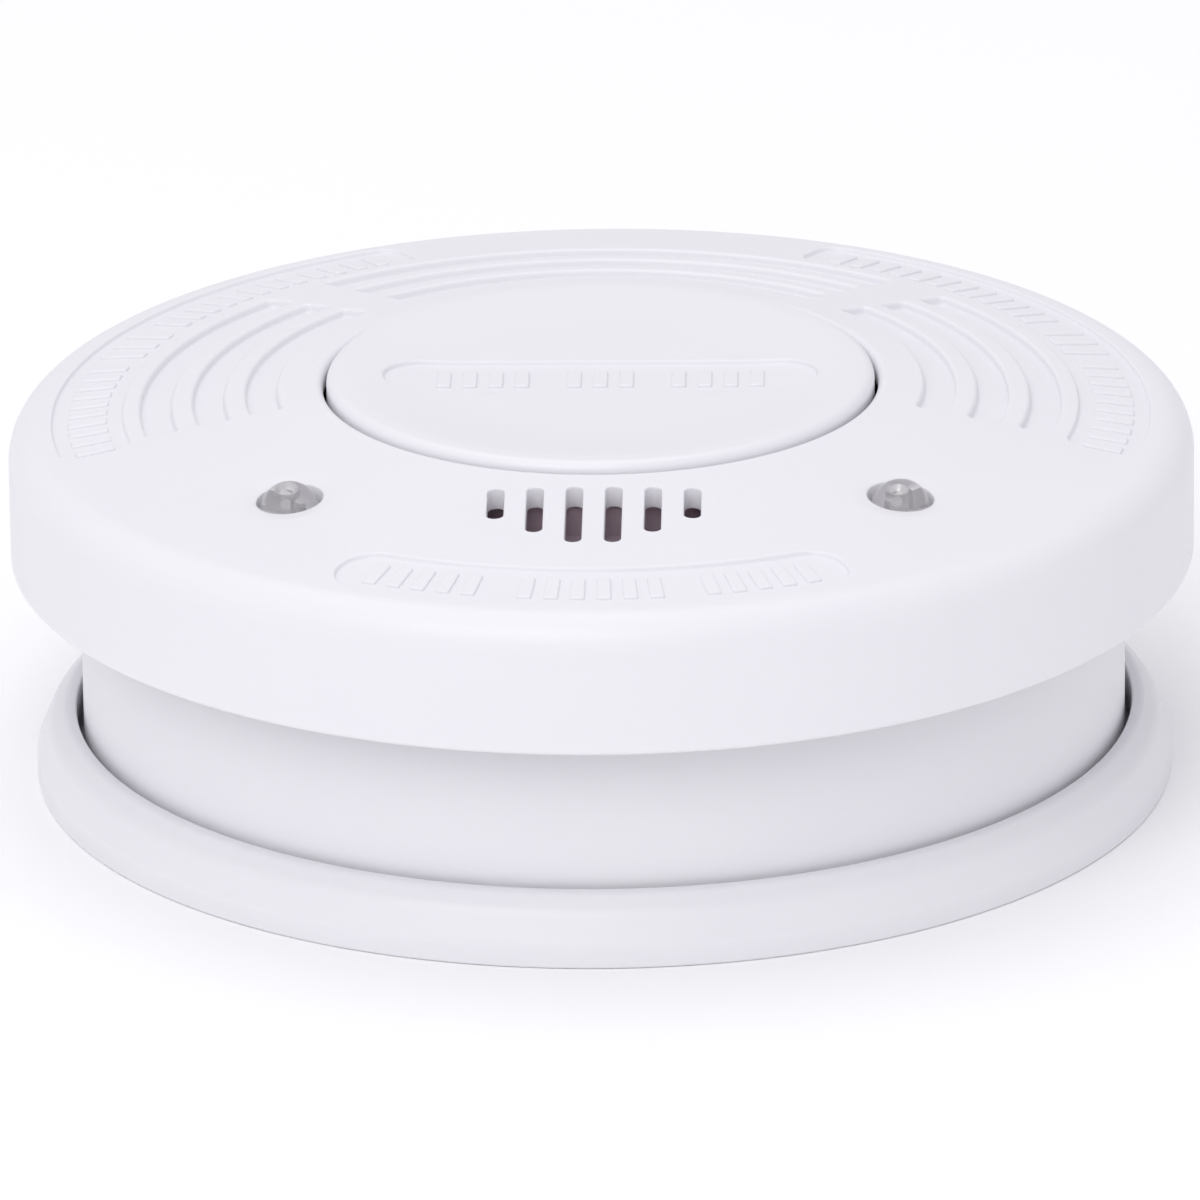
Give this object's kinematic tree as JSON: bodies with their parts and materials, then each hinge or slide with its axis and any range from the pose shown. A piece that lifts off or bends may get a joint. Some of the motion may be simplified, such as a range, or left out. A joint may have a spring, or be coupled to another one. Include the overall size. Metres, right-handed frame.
{
  "type": "smoke detector",
  "caption": "Round white battery smoke detector with a large dished test button, clear lamps, sounder slots and a twist-off ceiling plate.",
  "frame": {"origin": "centre of the mounting plate's flat back, which lies against the ceiling", "axes": "+Z from the ceiling plate out to the room through the test button, -Y towards the side with the two lamps and the sounder slots"},
  "size_m": [0.1, 0.1, 0.035],
  "materials": {
    "white_abs": "satin moulded",
    "button_abs": "satin moulded",
    "clear_epoxy": "clear moulded",
    "tinned_steel": "bright",
    "spring_steel": "drawn wire",
    "board_laminate": "solder mask",
    "switch_plastic": "moulded",
    "plunger_plastic": "moulded",
    "chamber_plastic": "matt moulded",
    "screen_metal": "etched mesh",
    "emitter_epoxy": "tinted epoxy",
    "photodiode_epoxy": "dark epoxy",
    "sounder_plastic": "moulded",
    "brass_disc": "rolled",
    "white_ceramic": "silvered",
    "battery_sleeve": "printed sleeve left plain",
    "component_epoxy": "moulded",
    "capacitor_sleeve": "shrunk sleeve",
    "ferrite": "fired",
    "resistor_black": "glazed",
    "capacitor_tan": "fired"
  },
  "bodies": {
    "ceiling_plate": {"mounting_plate": "white_abs"},
    "head": {"base_housing": "white_abs", "front_cover": "white_abs", "circuit_board": "board_laminate", "test_switch_body": "switch_plastic", "indicator_lens_left": "clear_epoxy", "indicator_lens_right": "clear_epoxy", "indicator_leads": "tinned_steel", "chamber_base": "chamber_plastic", "chamber_labyrinth": "chamber_plastic", "insect_screen": "screen_metal", "infrared_emitter": "emitter_epoxy", "photodiode": "photodiode_epoxy", "sounder_case": "sounder_plastic", "piezo_disc": "brass_disc", "piezo_ceramic": "white_ceramic", "sounder_contacts": "tinned_steel", "battery_case": "battery_sleeve", "battery_terminals": "tinned_steel", "battery_clips": "tinned_steel", "housing_screws": "tinned_steel", "microcontroller": "component_epoxy", "electrolytic_capacitor": "capacitor_sleeve", "step_up_coil": "ferrite", "chip_resistors": "resistor_black", "chip_capacitors": "capacitor_tan"},
    "button": {"test_button": "button_abs", "button_spring": "spring_steel"},
    "plunger": {"test_switch_plunger": "plunger_plastic"}
  },
  "joints": [
    {"name": "twist_release", "type": "hinge", "parent": "ceiling_plate", "child": "head", "pos_m": [0, 0, 0], "axis": [0, 0, 1], "range_deg": [0, 18]},
    {"name": "test_press", "type": "slide", "parent": "head", "child": "button", "axis": [0, 0, 1], "range_m": [-0.0008, 0], "stiffness_N_per_m": 1500, "springref_m": 0.0006, "deforming": ["button_spring"]},
    {"name": "plunger_press", "type": "slide", "parent": "head", "child": "plunger", "axis": [0, 0, 1], "range_m": [-0.0003, 0]}
  ],
  "couplings": [
    {"joint": "plunger_press", "follows": "test_press", "ratio": 0.375}
  ]
}
